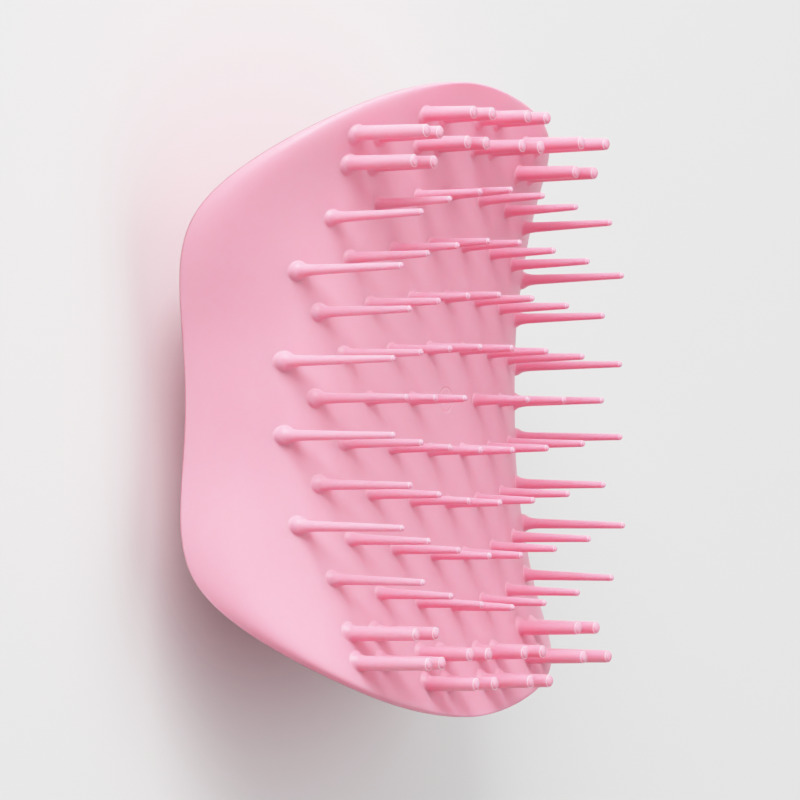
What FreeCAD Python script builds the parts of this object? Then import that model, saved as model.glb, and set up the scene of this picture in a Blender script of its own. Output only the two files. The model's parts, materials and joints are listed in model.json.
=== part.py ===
import FreeCAD, Part
import math
import os

Vector = FreeCAD.Vector
os.makedirs("parts", exist_ok=True)

# Palm-held scalp massager brush, lying on its back with the teeth pointing up.
# A toothed face moulding sits on a palm cover; they meet at a curved rim.
# Frame: origin at the centre of the small flat on the bottom of the palm
# cover, +Z along the teeth, Y along the length, X across the width.
# Sizes are in millimetres, angles in degrees.

# --- outline ---------------------------------------------------------------
HALF_LENGTH = 47.80        # centre to rim tip

# Stations along the length, at y = HALF_LENGTH * sin(angle). Columns:
# angle, half width, rim z, crown z, roundness (superellipse exponent)
OUTLINE = [
    (0.0, 37.65, 9.27, 30.55, 2.18),
    (12.0, 38.13, 9.10, 30.62, 2.18),
    (24.0, 39.68, 9.90, 30.86, 2.19),
    (36.0, 39.93, 13.55, 31.42, 2.21),
    (46.0, 37.40, 20.22, 32.15, 2.26),
    (55.0, 32.63, 26.58, 32.98, 2.35),
    (63.0, 26.32, 30.53, 33.80, 2.47),
    (70.0, 19.73, 32.33, 34.47, 2.62),
    (77.0, 12.63, 33.35, 34.98, 2.82),
    (84.0, 5.75, 33.93, 35.32, 3.09),
    (90.0, 0.0, 34.05, 35.42, 3.38),
]

# station angles of the lofts, from the middle to one end
OUTER_STATIONS = [0, 6, 12, 18, 24, 30, 36, 41, 46, 50.5, 55, 59, 63,
                  66.5, 70, 73.5, 77, 80.5, 84, 87]
ROOM_STATIONS = [0, 6, 12, 18, 24, 30, 36, 42, 48, 54, 60, 65, 70]
CAVITY_STATIONS = [0, 6, 12, 18, 24, 30, 36, 42, 48, 54, 60, 66]
ARCH_STEPS = 16            # spline steps from the crown to one rim
BELLY_STEPS = 12           # spline steps from the belly's middle to one edge

# --- face moulding ---------------------------------------------------------
SIDE_WALL = 2.0            # at the rim
FACE_WALL = 2.7            # under the teeth
ROOM_END_INSET = 3.2       # room's end in from the rim tip
ROOM_BELOW_RIM = 3.0       # room's floor below the rim, so it opens through it
MARK_R = 1.90              # ring groove at the centre of the face
MARK_WIDTH = 0.22
MARK_DEPTH = 0.12
MARK_CUTTER_HEIGHT = 1.0
MARK_OVERRUN = 0.1         # inner cutter past each end of the outer one

# --- palm cover ------------------------------------------------------------
COVER_WALL = 1.8
COVER_BULGE = 9.25         # depth of the belly in the middle
COVER_BULGE_END = 1.50     # depth of the belly at the two ends
BULGE_POWER = 1.4          # fade of the belly along the length
BELLY_POWER = 2.2          # shape of the belly across the width
EDGE_BAND = 0.55           # plain upright band round the edge
PARTING_GAP = 0.12         # cover's edge below the rim
CAVITY_INSET = 5.0         # cavity's side in from the edge
CAVITY_END_INSET = 4.6     # cavity's end in from the rim tip
CAVITY_ABOVE_LIP = 1.0
LIP_HEIGHT = 2.2           # side lips above the rim
LIP_HALF_LENGTH = 25.0
LIP_GAP = 0.15             # between the lips and the face moulding
LIP_BELOW_RIM = 0.5        # overlap of the lips with the cover
LIP_SLAB_HALF_WIDTH = 38.5
LIP_STEPS = 8              # loft stations each side of the middle
FLAT_CUTTER_SIZE = 120     # block that cuts the resting flat
FLAT_CUTTER_DEPTH = 20

# --- locating posts on the cover and their bosses under the face -----------
# heights are measured from the rim at the post's place
POST_X = 18.0
POST_Y = 24.0
POST_PLACES = [(x, y) for y in (-POST_Y, POST_Y) for x in (-POST_X, POST_X)]
POST_R = 2.4
POST_TOP = 11.0
BORE_R = POST_R + 0.1
BORE_HEADROOM = 1.0        # bore above the post's top
BORE_OVERRUN = 1.0         # bore cutter below the boss
BOSS_R = 4.0
BOSS_FOOT = 6.0
ROD_EXCESS = 30.0          # surplus length of boss and post rods before trimming

# --- teeth -----------------------------------------------------------------
# bead: ball at the root; base: shaft where it leaves the bead;
# dome_ratio: height of the tip's dome over tip_r;
# lean_per_mm: outward lean, degrees per mm of y
TOOTH_KINDS = {
    "thin": dict(prefix="bristles", bead_r=1.40, base_r=0.82, tip_r=0.50,
                 dome_ratio=0.75, lean_per_mm=0.055),
    "thick": dict(prefix="pins", bead_r=1.65, base_r=1.12, tip_r=0.95,
                  dome_ratio=0.55, lean_per_mm=0.0),
}
SEAT_GAP = 0.15            # clearance round every root bead in its seat
ROOT_RISE = 0.20           # centre of a root bead above the face
ROOT_PASSES = 4            # refinements of a leaning tooth's root
ROW_COUNT = 15

# Columns: place across the row, kind, row, tip x, tip y, tip z.
# Rows run from the +Y end to the -Y end; rows 9 to 15 mirror rows 7 to 1.
# A position off the centre plane carries a tooth at -x and one at +x.
TEETH = [
    ("outer",  "thick", 1,  9.94, 42.54, 42.88),
    ("inner",  "thick", 1,  4.83, 42.54, 42.82),
    ("edge",   "thick", 2, 24.37, 39.16, 44.19),
    ("outer",  "thick", 2, 19.22, 39.16, 43.06),
    ("mid",    "thick", 2,  9.87, 38.14, 41.76),
    ("inner",  "thick", 2,  4.89, 38.18, 41.74),
    ("edge",   "thick", 3, 24.40, 34.79, 42.01),
    ("outer",  "thick", 3, 19.26, 34.79, 42.02),
    ("outer",  "thin",  4, 25.60, 27.18, 43.98),
    ("mid",    "thin",  4, 17.14, 29.33, 43.26),
    ("inner",  "thin",  4,  8.48, 30.74, 42.89),
    ("centre", "thin",  4,  0.00, 31.32, 42.72),
    ("edge",   "thin",  5, 29.92, 19.20, 43.31),
    ("outer",  "thin",  5, 21.67, 21.19, 42.37),
    ("mid",    "thin",  5, 13.04, 22.61, 41.85),
    ("inner",  "thin",  5,  4.28, 23.53, 41.47),
    ("outer",  "thin",  6, 26.17, 12.96, 42.20),
    ("mid",    "thin",  6, 17.39, 14.32, 41.38),
    ("inner",  "thin",  6,  8.68, 15.27, 40.79),
    ("centre", "thin",  6,  0.00, 15.61, 40.56),
    ("edge",   "thin",  7, 30.71,  5.60, 42.39),
    ("outer",  "thin",  7, 21.87,  6.66, 41.24),
    ("mid",    "thin",  7, 13.04,  7.36, 40.45),
    ("inner",  "thin",  7,  4.30,  7.70, 40.01),
    ("outer",  "thin",  8, 26.43,  0.00, 41.80),
    ("mid",    "thin",  8, 17.44,  0.00, 40.79),
    ("inner",  "thin",  8,  8.49,  0.00, 40.03),
]


# --- outline curves --------------------------------------------------------
def smooth_curve(xs, ys):
    """Cubic spline function, level at the first entry, unbent at the last."""
    last = len(xs) - 1
    spans = [xs[i + 1] - xs[i] for i in range(last)]
    # solve for the second derivatives: sweep forward, then substitute back
    diagonal = [2 * spans[0]]
    right = [6 * (ys[1] - ys[0]) / spans[0]]
    for i in range(1, last):
        factor = spans[i - 1] / diagonal[i - 1]
        slope_change = (ys[i + 1] - ys[i]) / spans[i] - (ys[i] - ys[i - 1]) / spans[i - 1]
        diagonal.append(2 * (spans[i - 1] + spans[i]) - factor * spans[i - 1])
        right.append(6 * slope_change - factor * right[i - 1])
    bends = [0.0] * (last + 1)
    for i in range(last - 1, -1, -1):
        bends[i] = (right[i] - spans[i] * bends[i + 1]) / diagonal[i]

    def value(x):
        i = 0
        while x > xs[i + 1]:
            i += 1
        span = spans[i]
        before = (xs[i + 1] - x) / span
        after = (x - xs[i]) / span
        cubic = (before ** 3 - before) * bends[i] + (after ** 3 - after) * bends[i + 1]
        return before * ys[i] + after * ys[i + 1] + cubic * span * span / 6

    return value


ANGLES, *COLUMNS = zip(*OUTLINE)
half_width_at, rim_at, crown_at, roundness_at = [smooth_curve(ANGLES, c) for c in COLUMNS]


def angle_of(y):
    """Station angle at y."""
    return math.degrees(math.asin(abs(y) / HALF_LENGTH))


def bulge_at(angle):
    """Depth of the palm cover's belly."""
    fade = math.cos(math.radians(angle)) ** BULGE_POWER
    return COVER_BULGE_END + (COVER_BULGE - COVER_BULGE_END) * fade


def face_z(x, y):
    """Height of the outside of the toothed face."""
    angle = angle_of(y)
    rim, crown, power = rim_at(angle), crown_at(angle), roundness_at(angle)
    across = abs(x) / half_width_at(angle)
    return crown - (crown - rim) * (1 - (1 - across ** power) ** (1 / power))


# --- cross-sections, each in the plane at y --------------------------------
def line(x0, z0, x1, z1, y):
    return Part.makeLine(Vector(x0, y, z0), Vector(x1, y, z1))


def spline(points):
    curve = Part.BSplineCurve()
    curve.interpolate(points)
    return curve.toShape()


def arch_section(y, half_width, low, high, power):
    """Superellipse arch closed by a straight floor."""
    points = []
    for i in range(-ARCH_STEPS, ARCH_STEPS + 1):
        turn = math.pi / 2 * i / ARCH_STEPS
        sine = math.sin(turn)
        # exactly zero at the rim, so that the arch meets the floor
        cosine = 0.0 if abs(i) == ARCH_STEPS else math.cos(turn)
        x = math.copysign(abs(sine) ** (2 / power), sine) * half_width
        points.append(Vector(x, y, low + (high - low) * cosine ** (2 / power)))
    floor = line(half_width, low, -half_width, low, y)
    return Part.Wire([spline(points), floor])


def belly_section(y, half_width, top, low, depth):
    """Flat top, upright sides down to low, and a belly hanging below them."""
    points = []
    for i in range(-BELLY_STEPS, BELLY_STEPS + 1):
        across = i / BELLY_STEPS
        z = low - depth * (1 - abs(across) ** BELLY_POWER)
        points.append(Vector(across * half_width, y, z))
    return Part.Wire([
        line(-half_width, top, half_width, top, y),
        line(half_width, top, half_width, low, y),
        spline(points),
        line(-half_width, low, -half_width, top, y),
    ])


# --- lofted bodies ---------------------------------------------------------
def loft(sections):
    return Part.makeLoft(sections, True, False)


def stations_along(half_length, angles):
    """Pairs of y and unsigned angle, from the -Y end to the +Y end."""
    signed = [-angle for angle in reversed(angles[1:])] + angles
    return [(half_length * math.sin(math.radians(s)), abs(s)) for s in signed]


def face_outer():
    return loft([
        arch_section(y, half_width_at(angle), rim_at(angle), crown_at(angle),
                     roundness_at(angle))
        for y, angle in stations_along(HALF_LENGTH, OUTER_STATIONS)])


def face_room(gap=0.0):
    """Room inside the face moulding, open through the rim; a gap shrinks it."""
    sections = []
    for y, _ in stations_along(HALF_LENGTH - ROOM_END_INSET - gap, ROOM_STATIONS):
        angle = angle_of(y)
        sections.append(arch_section(
            y,
            half_width_at(angle) - SIDE_WALL - gap,
            rim_at(angle) - ROOM_BELOW_RIM,
            crown_at(angle) - FACE_WALL - gap,
            roundness_at(angle)))
    return loft(sections)


def cover_outer():
    sections = []
    for y, angle in stations_along(HALF_LENGTH, OUTER_STATIONS):
        top = rim_at(angle) - PARTING_GAP
        sections.append(belly_section(y, half_width_at(angle), top, top - EDGE_BAND,
                                      bulge_at(angle)))
    return loft(sections)


def cover_cavity():
    sections = []
    for y, _ in stations_along(HALF_LENGTH - CAVITY_END_INSET, CAVITY_STATIONS):
        angle = angle_of(y)
        rim, bulge = rim_at(angle), bulge_at(angle)
        half_width = half_width_at(angle) - CAVITY_INSET
        inset_power = (half_width / half_width_at(angle)) ** BELLY_POWER
        top = rim + LIP_HEIGHT + CAVITY_ABOVE_LIP
        low = rim - PARTING_GAP - EDGE_BAND - bulge * (1 - inset_power) + COVER_WALL
        sections.append(belly_section(y, half_width, top, low, bulge * inset_power))
    return loft(sections)


def lip_slab():
    """Slab that follows the rim line, from just below it to the lips' top."""
    sections = []
    side = LIP_SLAB_HALF_WIDTH
    for i in range(-LIP_STEPS, LIP_STEPS + 1):
        y = LIP_HALF_LENGTH * i / LIP_STEPS
        rim = rim_at(angle_of(y))
        low, top = rim - LIP_BELOW_RIM, rim + LIP_HEIGHT
        sections.append(Part.Wire([
            line(-side, low, side, low, y), line(side, low, side, top, y),
            line(side, top, -side, top, y), line(-side, top, -side, low, y)]))
    return loft(sections)


# --- pieces ----------------------------------------------------------------
def export(shape, name):
    if shape.ShapeType == "Compound" and len(shape.Solids) == 1:
        shape = shape.Solids[0]
    assert shape.isValid(), name
    shape.exportStep("parts/%s.step" % name)


def make_tooth(kind, height):
    """One upright tooth, its root bead centred on the origin."""
    bead_r, base_r, tip_r = kind["bead_r"], kind["base_r"], kind["tip_r"]
    dome = kind["dome_ratio"] * tip_r
    dome_r = (tip_r * tip_r + dome * dome) / (2 * dome)
    dome_centre_z = height - dome_r
    half_turn = math.asin(tip_r / dome_r) / 2
    bottom = Vector(0, 0, -bead_r)
    base = Vector(base_r, 0, math.sqrt(bead_r * bead_r - base_r * base_r))
    shoulder = Vector(tip_r, 0, height - dome)
    dome_middle = Vector(dome_r * math.sin(half_turn), 0,
                         dome_centre_z + dome_r * math.cos(half_turn))
    tip = Vector(0, 0, height)
    profile = Part.Wire([
        Part.Arc(bottom, Vector(bead_r, 0, 0), base).toShape(),
        Part.makeLine(base, shoulder),
        Part.Arc(shoulder, dome_middle, tip).toShape(),
        Part.makeLine(tip, bottom),
    ])
    return Part.Face(profile).revolve(Vector(0, 0, 0), Vector(0, 0, 1), 360)


def root_of(lean, x, tip_y, tip_z):
    """y and z of the root bead's centre, for a tooth in the +Y half."""
    root_y = tip_y
    for _ in range(ROOT_PASSES):
        root_z = face_z(x, root_y) + ROOT_RISE
        root_y = tip_y - (tip_z - root_z) * math.tan(math.radians(lean))
    return root_y, root_z


def build_teeth():
    """Export every tooth position; return the balls that cut the bead seats."""
    seats = []
    for place, kind_name, row, x, tip_y, tip_z in TEETH:
        kind = TOOTH_KINDS[kind_name]
        lean = kind["lean_per_mm"] * tip_y
        root_y, root_z = root_of(lean, x, tip_y, tip_z)
        length = (tip_z - root_z) / math.cos(math.radians(lean))
        for end in ((1,) if tip_y == 0 else (1, -1)):
            teeth = []
            for tooth_x in ((0.0,) if x == 0 else (-x, x)):
                root = Vector(tooth_x, end * root_y, root_z)
                tooth = make_tooth(kind, length)
                tooth.rotate(Vector(0, 0, 0), Vector(1, 0, 0), -lean * end)
                tooth.translate(root)
                teeth.append(tooth)
                seats.append(Part.makeSphere(kind["bead_r"] + SEAT_GAP, root))
            number = row if end > 0 else ROW_COUNT + 1 - row
            shape = teeth[0] if len(teeth) == 1 else Part.makeCompound(teeth)
            export(shape, "%s_row%02d_%s" % (kind["prefix"], number, place))
    return seats


def mark_cutter():
    """Ring that cuts the groove at the centre of the face."""
    z = face_z(0, 0) - MARK_DEPTH
    disc = Part.makeCylinder(MARK_R, MARK_CUTTER_HEIGHT, Vector(0, 0, z))
    core = Part.makeCylinder(MARK_R - MARK_WIDTH, MARK_CUTTER_HEIGHT + 2 * MARK_OVERRUN,
                             Vector(0, 0, z - MARK_OVERRUN))
    return disc.cut(core)


def build_face_shell(seats):
    room = face_room()
    face = face_outer().cut(room)
    bosses = []
    bores = []
    bore_height = POST_TOP + BORE_HEADROOM - BOSS_FOOT + BORE_OVERRUN
    for x, y in POST_PLACES:
        foot_z = rim_at(angle_of(y)) + BOSS_FOOT
        boss = Part.makeCylinder(BOSS_R, ROD_EXCESS, Vector(x, y, foot_z))
        bosses.append(boss.common(room))
        bores.append(Part.makeCylinder(BORE_R, bore_height,
                                       Vector(x, y, foot_z - BORE_OVERRUN)))
    face = face.fuse(bosses)
    face = face.cut(Part.makeCompound(bores))
    face = face.cut(Part.makeCompound(seats))
    export(face.cut(mark_cutter()), "face_shell")


def build_palm_cover():
    cover = cover_outer()
    cover = cover.fuse(lip_slab().common(face_room(LIP_GAP)))
    cavity = cover_cavity()
    cover = cover.cut(cavity)
    posts = []
    for x, y in POST_PLACES:
        rim = rim_at(angle_of(y))
        rod = Part.makeCylinder(POST_R, ROD_EXCESS + POST_TOP, Vector(x, y, rim - ROD_EXCESS))
        above_rim = Part.makeCylinder(POST_R, POST_TOP, Vector(x, y, rim))
        # trims the rod's foot to the cavity's floor
        posts.append(rod.common(cavity.fuse(above_rim)))
    cover = cover.fuse(posts)
    # resting flat at z = 0
    corner = Vector(-FLAT_CUTTER_SIZE / 2, -FLAT_CUTTER_SIZE / 2, -FLAT_CUTTER_DEPTH)
    cover = cover.cut(Part.makeBox(FLAT_CUTTER_SIZE, FLAT_CUTTER_SIZE, FLAT_CUTTER_DEPTH, corner))
    export(cover, "palm_cover")


build_face_shell(build_teeth())
build_palm_cover()
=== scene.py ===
"""Pink palm brush: an arched shell full of teeth over a bulging palm cover.

The brush lies on its cover on the floor at z = 0, teeth up along +Z. X runs across it,
between the two low sides of the rim, and Y runs along it, up to the two high ends.
Shapes are worked out in millimetres and scaled to metres when the meshes are made.
"""
import json
import math
from types import SimpleNamespace

import bmesh
import bpy
import numpy as np
from mathutils import Matrix, Vector


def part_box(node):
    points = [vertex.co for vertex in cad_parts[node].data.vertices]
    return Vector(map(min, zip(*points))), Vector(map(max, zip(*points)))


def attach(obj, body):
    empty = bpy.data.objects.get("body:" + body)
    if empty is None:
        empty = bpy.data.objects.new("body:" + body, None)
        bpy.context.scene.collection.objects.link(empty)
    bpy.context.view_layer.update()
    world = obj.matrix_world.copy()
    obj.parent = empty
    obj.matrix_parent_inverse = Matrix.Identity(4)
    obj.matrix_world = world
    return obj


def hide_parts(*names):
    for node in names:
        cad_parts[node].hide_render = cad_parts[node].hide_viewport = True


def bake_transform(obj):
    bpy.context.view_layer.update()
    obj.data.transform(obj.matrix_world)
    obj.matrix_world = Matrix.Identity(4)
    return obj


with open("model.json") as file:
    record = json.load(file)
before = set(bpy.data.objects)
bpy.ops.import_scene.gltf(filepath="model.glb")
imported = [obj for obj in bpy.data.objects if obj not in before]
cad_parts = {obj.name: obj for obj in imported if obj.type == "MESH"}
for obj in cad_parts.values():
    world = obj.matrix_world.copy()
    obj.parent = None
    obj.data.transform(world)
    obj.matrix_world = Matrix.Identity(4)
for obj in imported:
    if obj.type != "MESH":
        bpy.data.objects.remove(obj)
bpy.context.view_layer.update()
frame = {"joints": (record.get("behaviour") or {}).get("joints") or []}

BODY = "brush_body"
MM = 0.001

# --- form of the two shells -------------------------------------------------
HALF_LENGTH = 47.80
# Stations from the middle (0) to either end (90), at y = HALF_LENGTH * sin(angle):
# angle in degrees, half width, rim z, crown z, exponent of the cross-section's roundness
STATIONS = np.array([
    (0.0, 37.65, 9.27, 30.55, 2.18),
    (12.0, 38.13, 9.10, 30.62, 2.18),
    (24.0, 39.68, 9.90, 30.86, 2.19),
    (36.0, 39.93, 13.55, 31.42, 2.21),
    (46.0, 37.40, 20.22, 32.15, 2.26),
    (55.0, 32.63, 26.58, 32.98, 2.36),
    (63.0, 26.32, 30.53, 33.80, 2.55),
    (70.0, 19.73, 32.33, 34.47, 2.86),
    (77.0, 12.63, 33.35, 34.98, 3.30),
    (84.0, 5.75, 33.93, 35.32, 3.85),
    (90.0, 0.0, 34.05, 35.42, 4.30),
])
ANGLES, HALF_WIDTH, RIM_Z, CROWN_Z, ROUNDNESS = STATIONS.T
SEGMENTS = 480              # points round the rim

FACE_EDGE_RADIUS = 0.40     # rolled edge of the face along the rim
WALL = 1.90                 # the inside of the face shell starts this far in from the rim
SHELL_THICKNESS = 2.6
GROOVE_RADIUS, GROOVE_WIDTH, GROOVE_DEPTH = 1.78, 0.17, 0.10    # ring at the centre
DISH_RADIUS, DISH_DEPTH = 1.7, 0.05                             # hollow inside that ring

COVER_BULGE, COVER_BULGE_END = 9.80, 1.50   # depth below the rim, mid-length and at the ends
COVER_INSET, PARTING_GAP = 1.0, 0.12
COVER_EDGE_RADIUS = 0.30
COVER_THICKNESS = 1.8
COVER_INNER_CENTRE_Z = 1.9


class Curve:
    """Cubic spline through a table, level at the first entry and unbent at the last."""

    def __init__(self, stations, values):
        count = len(stations)
        steps = np.diff(stations)
        matrix = np.zeros((count, count))
        rhs = np.zeros(count)
        matrix[0, :2] = 2 * steps[0], steps[0]
        rhs[0] = 6 * (values[1] - values[0]) / steps[0]
        for i in range(1, count - 1):
            before, after = steps[i - 1], steps[i]
            matrix[i, i - 1:i + 2] = before, 2 * (before + after), after
            rhs[i] = 6 * ((values[i + 1] - values[i]) / after
                          - (values[i] - values[i - 1]) / before)
        matrix[-1, -1] = 1.0
        self.stations, self.values, self.steps = stations, values, steps
        self.bends = np.linalg.solve(matrix, rhs)

    def __call__(self, at):
        at = np.clip(np.asarray(at, float), self.stations[0], self.stations[-1])
        i = np.searchsorted(self.stations, at, side="right") - 1
        i = np.clip(i, 0, len(self.steps) - 1)
        step = self.steps[i]
        a = (self.stations[i + 1] - at) / step
        b = (at - self.stations[i]) / step
        bend = (a ** 3 - a) * self.bends[i] + (b ** 3 - b) * self.bends[i + 1]
        return a * self.values[i] + b * self.values[i + 1] + bend * step * step / 6


WIDTH, RIM = Curve(ANGLES, HALF_WIDTH), Curve(ANGLES, RIM_Z)
CROWN, ROUND = Curve(ANGLES, CROWN_Z), Curve(ANGLES, ROUNDNESS)


def angle_of(y):
    return np.degrees(np.arcsin(np.clip(np.abs(y) / HALF_LENGTH, 0, 1)))


def rim_z(y):
    return RIM(angle_of(y))


def raw_face_z(x, y):
    """Top of the face shell, before its rolled edge."""
    angle = angle_of(y)
    rim, crown, power = RIM(angle), CROWN(angle), ROUND(angle)
    across = np.clip(np.abs(x) / np.maximum(WIDTH(angle), 1e-3), 0, 1)
    return crown - (crown - rim) * (1 - (1 - across ** power) ** (1 / power))


def rim_loop(count):
    """Rim outline in plan, walked at even steps of arc length."""
    sweep = np.radians(np.linspace(-90, 90, 2401))
    width = WIDTH(np.abs(np.degrees(sweep)))
    y = HALF_LENGTH * np.sin(sweep)
    right = np.stack([width, y], 1)
    left = np.stack([-width, y], 1)[::-1]
    closed = np.vstack([right, left[1:-1], right[:1]])
    lengths = np.linalg.norm(np.diff(closed, axis=0), axis=1)
    walked = np.concatenate([[0], np.cumsum(lengths)])
    at = np.linspace(0, walked[-1], count, endpoint=False)
    return np.stack([np.interp(at, walked, closed[:, i]) for i in range(2)], 1)


def outward_normals(loop):
    tangent = np.roll(loop, -1, 0) - np.roll(loop, 1, 0)
    tangent /= np.linalg.norm(tangent, axis=1)[:, None]
    out = np.stack([tangent[:, 1], -tangent[:, 0]], 1)
    # soften the normals so that the tight corners stay even
    for _ in range(3):
        out = out + 0.5 * (np.roll(out, 1, 0) + np.roll(out, -1, 0))
        out /= np.linalg.norm(out, axis=1)[:, None]
    return out


LOOP = rim_loop(SEGMENTS)
OUT = outward_normals(LOOP)
# the inset is scaled by the half width at the 24 degree station
COVER_LOOP = LOOP * (1 - COVER_INSET / np.array([HALF_WIDTH[2], HALF_LENGTH]))


def edge_distance(x, y):
    """Distance in plan from points to the rim outline, in batches to save memory."""
    batch = 4000
    points = np.stack([np.ravel(x), np.ravel(y)], 1)
    best = np.empty(len(points))
    side = np.roll(LOOP, -1, 0) - LOOP
    side_squared = (side ** 2).sum(1)
    for i in range(0, len(points), batch):
        here = points[i:i + batch][:, None]
        along = ((here - LOOP[None]) * side[None]).sum(2) / side_squared[None]
        nearest = LOOP[None] + np.clip(along, 0, 1)[..., None] * side[None]
        best[i:i + batch] = np.sqrt(((here - nearest) ** 2).sum(2).min(1))
    return best.reshape(np.shape(x))


def face_z(x, y):
    """Top of the face shell, with the rolled edge along the rim."""
    near = np.clip(1 - edge_distance(x, y) / FACE_EDGE_RADIUS, 0, 1)
    roll = FACE_EDGE_RADIUS * (1 - np.sqrt(np.clip(1 - near ** 2, 0, 1)))
    return np.maximum(raw_face_z(x, y) - roll, rim_z(y) + 0.02)


def cover_z(x, y):
    """Underside of the palm cover."""
    angle = angle_of(y)
    across = np.clip(np.abs(x) / np.maximum(WIDTH(angle), 1e-3), 0, 1)
    fade = np.cos(np.radians(angle)) ** 1.4
    bulge = COVER_BULGE_END + (COVER_BULGE - COVER_BULGE_END) * fade
    z = RIM(angle) - PARTING_GAP - bulge * (1 - across ** 2.2)
    # soft run-out into the flat it rests on
    softness = 0.35
    return np.where(z < 4, 0.5 * (z + np.sqrt(z * z + softness * softness)), z)


# --- mesh helpers -----------------------------------------------------------
def add_ring(points, rings, *columns):
    """Add a ring of points, given as columns x, y, z and any attribute values."""
    rows = np.stack(np.broadcast_arrays(*columns), 1)
    rings.append(range(len(points), len(points) + len(rows)))
    points.extend(rows)


def ring_faces(rings):
    """Quads between successive rings."""
    faces = []
    for a, b in zip(rings[:-1], rings[1:]):
        for i in range(len(a)):
            j = (i + 1) % len(a)
            faces.append((a[i], a[j], b[j], b[i]))
    return faces


def fan(ring, centre, reverse=False):
    """Triangles from a centre point to a ring."""
    pairs = [(ring[i], ring[(i + 1) % len(ring)]) for i in range(len(ring))]
    return [(centre, b, a) if reverse else (centre, a, b) for a, b in pairs]


def mesh_object(name, verts, faces, material, attributes=None):
    """Smooth object from points in mm, its normals turned outward."""
    mesh = bpy.data.meshes.new(name)
    mesh.from_pydata([tuple(v) for v in np.asarray(verts) * MM], [], faces)
    mesh.validate()
    mesh.polygons.foreach_set("use_smooth", [True] * len(mesh.polygons))
    for key, values in (attributes or {}).items():
        attribute = mesh.attributes.new(key, "FLOAT", "POINT")
        attribute.data.foreach_set("value", np.asarray(values, np.float32))
    mesh.update()
    ob = bpy.data.objects.new(name, mesh)
    bpy.context.scene.collection.objects.link(ob)
    mesh.materials.append(material)

    bm = bmesh.new()
    bm.from_mesh(mesh)
    bmesh.ops.recalc_face_normals(bm, faces=bm.faces)
    bm.to_mesh(mesh)
    bm.free()
    mesh.update()
    return ob


# --- materials --------------------------------------------------------------
def srgb(*channels):
    """Linear RGBA from sRGB channels."""
    return (*(c / 12.92 if c <= 0.04045 else ((c + 0.055) / 1.055) ** 2.4
              for c in channels), 1.0)


def set_inputs(tree, node, inputs):
    """Link the inputs that are given a socket and set the others."""
    for key, value in inputs.items():
        if isinstance(value, bpy.types.NodeSocket):
            tree.links.new(value, node.inputs[key])
        else:
            node.inputs[key].default_value = value


def add_node(tree, kind, inputs=None, **settings):
    node = tree.nodes.new(kind)
    for key, value in settings.items():
        setattr(node, key, value)
    set_inputs(tree, node, inputs or {})
    return node


def pink_plastic(name, base, deep, rough, glow, tooth=False, grain=0.05):
    """Satin plastic, clouded from base to deep colour; teeth also get a painted highlight
    ring at the tip and follow attributes.
    """
    material = bpy.data.materials.new(name)
    material.use_nodes = True
    tree = material.node_tree
    tree.nodes.clear()

    def add(kind, inputs=None, **settings):
        return add_node(tree, kind, inputs, **settings)

    def noise(scale, detail):
        inputs = {"Vector": place, "Scale": scale, "Detail": detail}
        return add("ShaderNodeTexNoise", inputs).outputs["Fac"]

    def attribute(key):
        return add("ShaderNodeAttribute", attribute_name=key).outputs["Fac"]

    output = add("ShaderNodeOutputMaterial")
    shader = add("ShaderNodeBsdfPrincipled")
    place = add("ShaderNodeTexCoord").outputs["Object"]
    broad = noise(scale=45.0, detail=3.0)
    fine = noise(scale=1500.0, detail=4.0)
    micro = noise(scale=5200.0, detail=2.0)

    clouds = add("ShaderNodeMix", data_type="RGBA")
    amount = add("ShaderNodeMapRange", {
        "Value": broad, "From Min": 0.35, "From Max": 0.65, "To Min": 0.0, "To Max": 0.35})
    set_inputs(tree, clouds, {"Factor": amount.outputs["Result"], "A": base, "B": deep})
    colour = clouds.outputs["Result"]
    if tooth:
        # painted highlight: a pale ring round the edge of the tip, set by the tip attribute
        colour = add("ShaderNodeMix", data_type="RGBA", inputs={
            "Factor": attribute("tip"), "A": colour, "B": srgb(1.0, 0.90, 0.94),
        }).outputs["Result"]

    satin = add("ShaderNodeMapRange", {
        "Value": fine, "To Min": rough - 0.05, "To Max": rough + 0.06}).outputs["Result"]
    if tooth:
        # glossy dome
        satin = add("ShaderNodeMix", data_type="FLOAT", inputs={
            "Factor": attribute("shine"), "A": satin, "B": 0.16}).outputs["Result"]

    shader.inputs["Subsurface Weight"].default_value = glow
    if tooth:
        # the thin foot that laps the face does not glow through
        weight = add("ShaderNodeMapRange", {
            "Value": attribute("root"), "To Min": glow, "To Max": 0.0})
        set_inputs(tree, shader, {"Subsurface Weight": weight.outputs["Result"]})

    coarse_bump = add("ShaderNodeBump", {
        "Strength": grain, "Distance": 0.00012, "Height": fine})
    fine_bump = add("ShaderNodeBump", {
        "Strength": grain * 0.7, "Distance": 0.00004, "Height": micro,
        "Normal": coarse_bump.outputs["Normal"]})
    set_inputs(tree, shader, {
        "Base Color": colour,
        "Roughness": satin,
        "Subsurface Radius": (1.0, 0.32, 0.38),
        "Subsurface Scale": 0.0028,
        "IOR": 1.46,
        "Specular IOR Level": 0.45,
        "Normal": fine_bump.outputs["Normal"],
    })
    set_inputs(tree, output, {"Surface": shader.outputs["BSDF"]})
    return material


BASE = srgb(0.955, 0.628, 0.712)
DEEP = srgb(0.945, 0.606, 0.694)
MAT_FACE = pink_plastic("pink_face_plastic", BASE, DEEP, rough=0.42, glow=0.55)
MAT_COVER = pink_plastic("pink_cover_plastic", BASE, DEEP, rough=0.36, glow=0.45, grain=0.03)
MAT_TOOTH = pink_plastic(
    "pink_tooth_plastic", base=srgb(0.962, 0.628, 0.714), deep=srgb(0.950, 0.606, 0.696),
    rough=0.34, glow=0.80, tooth=True, grain=0.03)


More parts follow.
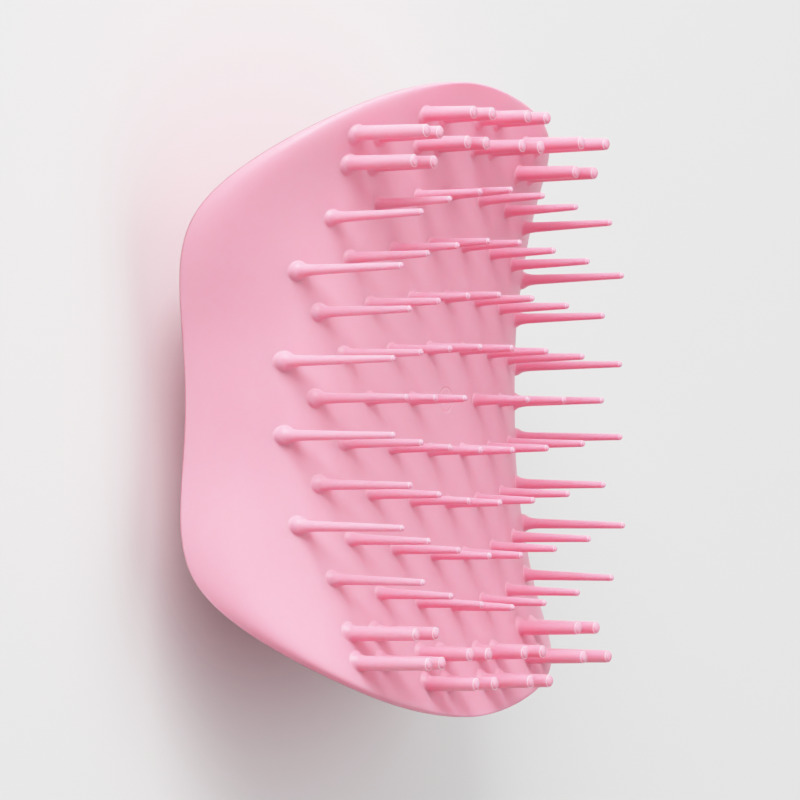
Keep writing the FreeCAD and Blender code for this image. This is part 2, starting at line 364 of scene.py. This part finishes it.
# --- face shell -------------------------------------------------------------
# rings near the rim, as steps inward on a nominal half width
NEAR_RIM = np.array([
    0.0, 0.003, 0.008, 0.016, 0.028, 0.045, 0.07, 0.10, 0.135, 0.175, 0.22, 0.27, 0.325,
    0.385, 0.45, 0.53, 0.63, 0.75, 0.90, 1.08, 1.30, 1.56, 1.86, 2.20, 2.60, 3.05, 3.60,
    4.25, 5.0])
NOMINAL_HALF_WIDTH = 38.0
WALL_TOP = 0.22     # height above the rim where the lip starts
# lower lip of the wall, rounding under to the parting line: inset, height above the rim
FACE_LIP = ((0.012, 0.15), (0.045, 0.085), (0.10, 0.035), (0.17, 0.008), (0.25, 0.0),
            (1.00, 0.0), (WALL, 0.05))


def build_face():
    """Closed shell, from the top centre out over the lip and back along the inside."""
    centre_z = float(raw_face_z(0.0, 0.0))
    verts, rings = [(0.0, 0.0, centre_z)], []

    scales = np.unique(np.concatenate([
        np.linspace(0.004, 0.075, 44), np.linspace(0.085, 0.86, 64),
        1 - NEAR_RIM / NOMINAL_HALF_WIDTH]))
    x, y = scales[:, None] * LOOP[None, :, 0], scales[:, None] * LOOP[None, :, 1]
    radius = np.hypot(x, y)
    groove = np.exp(-((radius - GROOVE_RADIUS) / GROOVE_WIDTH) ** 2)
    dish = DISH_DEPTH * np.clip(1 - (radius / DISH_RADIUS) ** 4, 0, 1)
    z = face_z(x, y) - GROOVE_DEPTH * groove - dish
    z[-1] = rim_z(LOOP[:, 1]) + WALL_TOP
    for i in range(len(scales)):
        add_ring(verts, rings, x[i], y[i], z[i])

    for inset, rise in FACE_LIP:
        x, y = (LOOP - inset * OUT).T
        add_ring(verts, rings, x, y, rim_z(y) + rise)

    for scale in (0.93, 0.86, 0.78, 0.68, 0.56, 0.42, 0.28, 0.14, 0.03):
        x, y = (scale * (LOOP - WALL * OUT)).T
        z = np.maximum(raw_face_z(x * 1.03, y) - SHELL_THICKNESS, rim_z(y) + 0.2)
        add_ring(verts, rings, x, y, z)
    last = len(verts)
    verts.append((0.0, 0.0, centre_z - SHELL_THICKNESS))

    caps = fan(rings[0], 0, reverse=True) + fan(rings[-1], last)
    faces = ring_faces(rings) + [face[::-1] for face in caps]
    return mesh_object("face_shell_skin", verts, faces, MAT_FACE)


# --- palm cover -------------------------------------------------------------
# flat top edge, turning down at the outside: inset, height against the parting line
COVER_LIP = ((1.2, 0.0), (0.5, 0.0), (0.12, 0.0), (0.05, -0.02), (0.012, -0.06), (0.0, -0.12))


def build_cover():
    """Closed shell, from the top edge over the outside, with an inner skin."""
    verts, rings, inner = [], [], []
    top = rim_z(COVER_LOOP[:, 1]) - PARTING_GAP
    for inset, rise in COVER_LIP:
        add_ring(verts, rings, *(COVER_LOOP - inset * OUT).T, top + rise)

    radius = COVER_EDGE_RADIUS
    for angle in np.radians(np.linspace(0, 90, 7)):
        x, y = (COVER_LOOP - radius * (1 - math.cos(angle)) * OUT).T
        z = np.minimum(cover_z(x, y) + radius * (1 - math.sin(angle)), top - 0.13)
        add_ring(verts, rings, x, y, z)

    edge = COVER_LOOP - radius * OUT
    for step in np.concatenate([np.linspace(0.004, 0.03, 6), np.linspace(0.04, 0.985, 80)]):
        x, y = ((1 - step) * edge).T
        add_ring(verts, rings, x, y, cover_z(x, y))
    centre = len(verts)
    verts.append((0.0, 0.0, float(cover_z(0.0, 0.0))))
    faces = ring_faces(rings) + fan(rings[-1], centre)

    for scale in (0.90, 0.75, 0.55, 0.35, 0.15):
        x, y = (scale * COVER_LOOP).T
        thickness = COVER_THICKNESS * min(1.0, (1 - scale) * 6)
        add_ring(verts, inner, x, y, cover_z(x, y) + thickness)
    faces += ring_faces(inner[::-1] + [rings[0]])
    inner_centre = len(verts)
    verts.append((0.0, 0.0, COVER_INNER_CENTRE_Z))
    faces += fan(inner[-1], inner_centre, reverse=True)
    return mesh_object("palm_cover_skin", verts, faces, MAT_COVER)


# --- teeth ------------------------------------------------------------------
# sides: points round a tooth          bead: radius of the root bead
# sunk: depth of the bead's centre under the face on a level place
# rise: how much less of that on a steep place
# base, base_z: shaft radius at that height above the root point
# tip: shaft radius at the tip          dome: height of the dome on it
# leave: angle up the bead, in degrees, where the throat starts
# throat: height of the throat's upper half
# edge: from the side of the row's box in to the tooth axis
THIN = SimpleNamespace(
    sides=36, bead=1.46, sunk=1.12, rise=1.08, base=0.82, base_z=1.06, tip=0.50,
    dome=0.30, leave=33.0, throat=2.00, edge=1.40)
THICK = SimpleNamespace(
    sides=44, bead=1.86, sunk=1.10, rise=0.10, base=1.13, base_z=1.05, tip=0.95,
    dome=0.40, leave=43.0, throat=0.95, edge=1.65)
LEAN_PER_MM = 0.055         # degrees of lean along Y per mm of the tip's y
FILLET, FILLET_RISE = 0.22, 0.20    # reach and height of the fillet round the foot
# fine bead round the tip, with a painted highlight ring on it: share of the tip radius,
# height, strength of the painted highlight
TIP_EDGE = (
    (1.000, 0.0, 0.0), (0.996, 0.035, 0.3), (0.978, 0.066, 1.0), (0.945, 0.082, 1.0),
    (0.912, 0.072, 0.6), (0.885, 0.050, 0.0), (0.860, 0.052, 0.0))


def bezier(start, corner, end, t):
    return (1 - t) ** 2 * start + 2 * t * (1 - t) * corner + t * t * end


def bead_height(kind, x, y, z_root):
    """Centre of a root bead above the root point: sunk on level places, less on steep."""
    e = 0.5
    slope_x = (raw_face_z(x + e, y) - raw_face_z(x - e, y)) / (2 * e)
    slope_y = (raw_face_z(x, y + e) - raw_face_z(x, y - e)) / (2 * e)
    steep = min(max((math.hypot(slope_x, slope_y) - 0.15) / 0.60, 0.0), 1.0)
    ease = steep * steep * (3 - 2 * steep)
    return float(raw_face_z(x, y)) - z_root - kind.sunk + kind.rise * ease


def tooth_profile(kind, length, bead_z):
    """Rows of radius, height above the root point and painted highlight, from the bead's
    equator up.
    """
    dome_z = length - kind.dome

    def shaft_radius(z):
        return kind.base + (kind.tip - kind.base) * (z - kind.base_z) / (dome_z - kind.base_z)

    leave = math.radians(kind.leave)
    rows = [(kind.bead * math.cos(a), bead_z + kind.bead * math.sin(a), 0.0)
            for a in np.linspace(0.0, leave, 16)]

    # throat: from the bead's tangent into the shaft
    start = np.array(rows[-1][:2])
    slope = math.cos(leave) / math.sin(leave)
    corner_z = start[1] + (start[0] - shaft_radius(start[1])) * slope
    throat_z = corner_z + kind.throat
    corner = np.array([shaft_radius(corner_z), corner_z])
    end = np.array([shaft_radius(throat_z), throat_z])
    rows += [(*bezier(start, corner, end, t), 0.0) for t in np.linspace(0, 1, 13)[1:]]

    edge_z = length - kind.dome - 0.09
    for t in np.linspace(0, 1, 15)[1:]:
        z = throat_z + (edge_z - 0.03 - throat_z) * t
        rows.append((shaft_radius(z), z, 0.0))
    rows += [(kind.tip * share, edge_z + rise, painted_glint) for share, rise, painted_glint in TIP_EDGE]

    # the dome sits just inside the bright edge
    radius, z, _ = rows[-1]
    for t in np.linspace(0, 1, 10)[1:-1]:
        a = t * math.pi / 2
        rows.append((radius * math.cos(a), z + (length - z) * math.sin(a), 0.0))
    return np.array(rows)


def add_tooth(points, kind, x_root, y_root, z_root, lean, length):
    """Add the points of one tooth, as x, y, z, tip (painted highlight ring), shine, root;
    returns its faces.
    """
    angles = np.linspace(0, 2 * math.pi, kind.sides, endpoint=False)
    cos, sin = np.cos(angles), np.sin(angles)
    slope = math.tan(math.radians(lean))
    bead_z = bead_height(kind, x_root, y_root, z_root)
    profile = tooth_profile(kind, length, bead_z)
    side = profile[profile[:, 1] < length - kind.dome - 0.1]
    rings = []

    def radius_at(z):
        return np.interp(z, side[:, 1], side[:, 0])

    def skin_z(radius):
        return raw_face_z(x_root + radius * cos, y_root + radius * sin) - z_root

    def ring(radius, z, tip=0.0, shine=0.0, root=0.0):
        add_ring(points, rings, x_root + radius * cos,
                 y_root + radius * sin + np.maximum(z, 0) * slope, z_root + z,
                 tip, shine, root)

    # where the tooth leaves the face, round its foot
    foot = np.full(kind.sides, kind.bead)
    for _ in range(60):
        foot = 0.6 * foot + 0.4 * radius_at(skin_z(foot))
    foot_z = skin_z(foot)

    # under the face: radius, depth
    for radius, depth in ((0.3 * kind.bead, 0.9), (foot, 0.75),
                          (foot + FILLET + 0.16, 0.16), (foot + FILLET + 0.10, 0.030)):
        ring(radius, skin_z(radius) - depth, root=1.0)

    low_z = foot_z + FILLET_RISE
    low_radius = radius_at(low_z)
    for t in np.linspace(0, 1, 8):
        ring(bezier(foot + FILLET, foot, low_radius, t),
             bezier(skin_z(foot + FILLET) - 0.006, foot_z, low_z, t), root=1.0)

    # from the foot up to where the rings run level
    level_z = max(float(low_z.max()) + 0.25, bead_z + 0.72 * kind.bead)
    for t in np.linspace(0, 1, 13)[1:]:
        z = low_z + (level_z - low_z) * t
        ring(radius_at(z), z, root=np.clip(1 - (z - low_z) / 0.9, 0, 1) ** 1.5)
    # tip carries the painted highlight ring from the profile's last column
    for radius, z, painted_glint in profile:
        if z > level_z + 0.03:
            ring(radius, z, tip=0.75 * painted_glint, shine=float(z > length - kind.dome + 0.02))

    bottom = len(points)
    points.append((x_root, y_root, raw_face_z(x_root, y_root) - 0.95, 0.0, 0.0, 1.0))
    points.append((x_root, y_root + length * slope, z_root + length, 0.0, 1.0, 0.0))
    return (ring_faces(rings) + fan(rings[0], bottom, reverse=True)
            + fan(rings[-1], bottom + 1))


def build_row(node, root_point):
    """One or two teeth of a row, standing from the root point up to the top of the node's
    part.
    """
    thick = node.startswith("pins")
    kind = THICK if thick else THIN
    _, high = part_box(node)
    x = high[0] / MM - kind.edge
    xs = (0.0,) if abs(x) < 0.2 else (-x, x)
    y_root, z_root = root_point[1] / MM, root_point[2] / MM
    length = high[2] / MM - z_root

    # the lean follows from the tip's place, which moves with the lean
    lean = 0.0
    if not thick:
        y_tip = y_root
        for _ in range(6):
            lean = LEAN_PER_MM * y_tip
            y_tip = y_root + length * math.tan(math.radians(lean))

    points, faces = [], []
    for x in xs:
        faces += add_tooth(points, kind, x, y_root, z_root, lean, length)
    points = np.array(points)
    # the tip attribute holds the painted highlight ring of each tooth
    attributes = dict(zip(("tip", "shine", "root"), points[:, 3:].T))
    ob = mesh_object(node + "_skin", points[:, :3], faces, MAT_TOOTH, attributes)
    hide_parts(node)
    stiff = max(1.2, bead_height(kind, xs[-1], y_root, z_root) + kind.bead)
    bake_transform(ob)


for build, piece, slot in ((build_face, "face_shell", "face_plastic"),
                           (build_cover, "palm_cover", "cover_plastic")):
    shell = build()
    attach(shell, BODY)
    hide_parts(piece)

for joint in frame["joints"]:
    build_row(joint["child"], joint["pos_m"])


# --- floor, lights, world, view and camera ----------------------------------
scene = bpy.context.scene


def floor_material():
    material = bpy.data.materials.new("pale_floor")
    material.use_nodes = True
    tree = material.node_tree
    place = add_node(tree, "ShaderNodeTexCoord").outputs["Object"]
    noise = add_node(tree, "ShaderNodeTexNoise", {"Vector": place, "Scale": 9.0})
    mix = add_node(tree, "ShaderNodeMix", data_type="RGBA", inputs={
        "Factor": noise.outputs["Fac"],
        "A": (0.80, 0.80, 0.80, 1), "B": (0.83, 0.83, 0.83, 1)})
    set_inputs(tree, tree.nodes["Principled BSDF"], {
        "Base Color": mix.outputs["Result"], "Roughness": 0.9})
    return material


def build_floor(half=4.0, z=-0.0002):
    """Square floor, in metres, a hair below the brush."""
    mesh = bpy.data.meshes.new("floor")
    corners = [(-half, -half, z), (half, -half, z), (half, half, z), (-half, half, z)]
    mesh.from_pydata(corners, [], [(0, 1, 2, 3)])
    ob = bpy.data.objects.new("floor", mesh)
    scene.collection.objects.link(ob)
    mesh.materials.append(floor_material())


def area_light(name, direction, distance, size, watts):
    """Round lamp aimed at a point 25 mm above the floor's middle."""
    toward = Vector(direction).normalized()
    data = bpy.data.lights.new(name, "AREA")
    data.shape = "DISK"
    data.size = size
    data.energy = watts
    ob = bpy.data.objects.new(name, data)
    ob.location = toward * distance + Vector((0, 0, 0.025))
    ob.rotation_mode = "QUATERNION"
    ob.rotation_quaternion = toward.to_track_quat("Z", "Y")
    scene.collection.objects.link(ob)


def set_world():
    world = bpy.data.worlds.new("soft_room")
    scene.world = world
    world.use_nodes = True
    set_inputs(world.node_tree, world.node_tree.nodes["Background"], {
        "Color": (1.0, 0.99, 0.985, 1), "Strength": 0.205})


def set_view():
    """Standard view with a soft shoulder, as a camera gives."""
    white = 4.0     # scene value at the right end of the curve
    stops = (0.0, 0.03, 0.07, 0.14, 0.24, 0.36, 0.50, 0.68, 0.90, 1.15, 1.45, 1.85, 2.4,
             3.1, white)
    view = scene.view_settings
    view.view_transform = "Standard"
    view.use_curve_mapping = True
    tone = view.curve_mapping
    tone.white_level = (white, white, white)
    curve = tone.curves[3]      # all channels together
    while len(curve.points) < len(stops):
        curve.points.new(0.5, 0.5)
    for point, value in zip(curve.points, stops):
        point.location = (value / white, 1 - math.exp(-1.35 * value ** 1.25))
    tone.update()


def build_camera():
    """Long lens on the -X side, looking down, with +Y up in the picture."""
    data = bpy.data.cameras.new("camera")
    data.sensor_width = 36.0
    data.lens = 293.41665
    data.clip_start, data.clip_end = 0.05, 20.0
    camera = bpy.data.objects.new("camera", data)
    right = (0.5664228617, -0.0038455509, 0.8241057902)
    up = (-0.0086458347, 0.9999063520, 0.0106083337)
    back = (-0.8240694093, -0.0131338851, 0.5663365693)
    pose = Matrix((right, up, back)).transposed().to_4x4()
    pose.translation = Vector((-814.881, -12.957, 582.100)) * MM
    camera.matrix_world = pose
    scene.collection.objects.link(camera)
    scene.camera = camera


build_floor()
area_light("key", direction=(-0.52, 0.78, 0.36), distance=1.3, size=0.9, watts=27.5)
area_light("side", direction=(-0.05, 0.94, 0.34), distance=1.4, size=1.6, watts=11.0)
area_light("top", direction=(0.15, 0.0, 0.98), distance=1.4, size=1.8, watts=16.4)
set_world()
set_view()
build_camera()
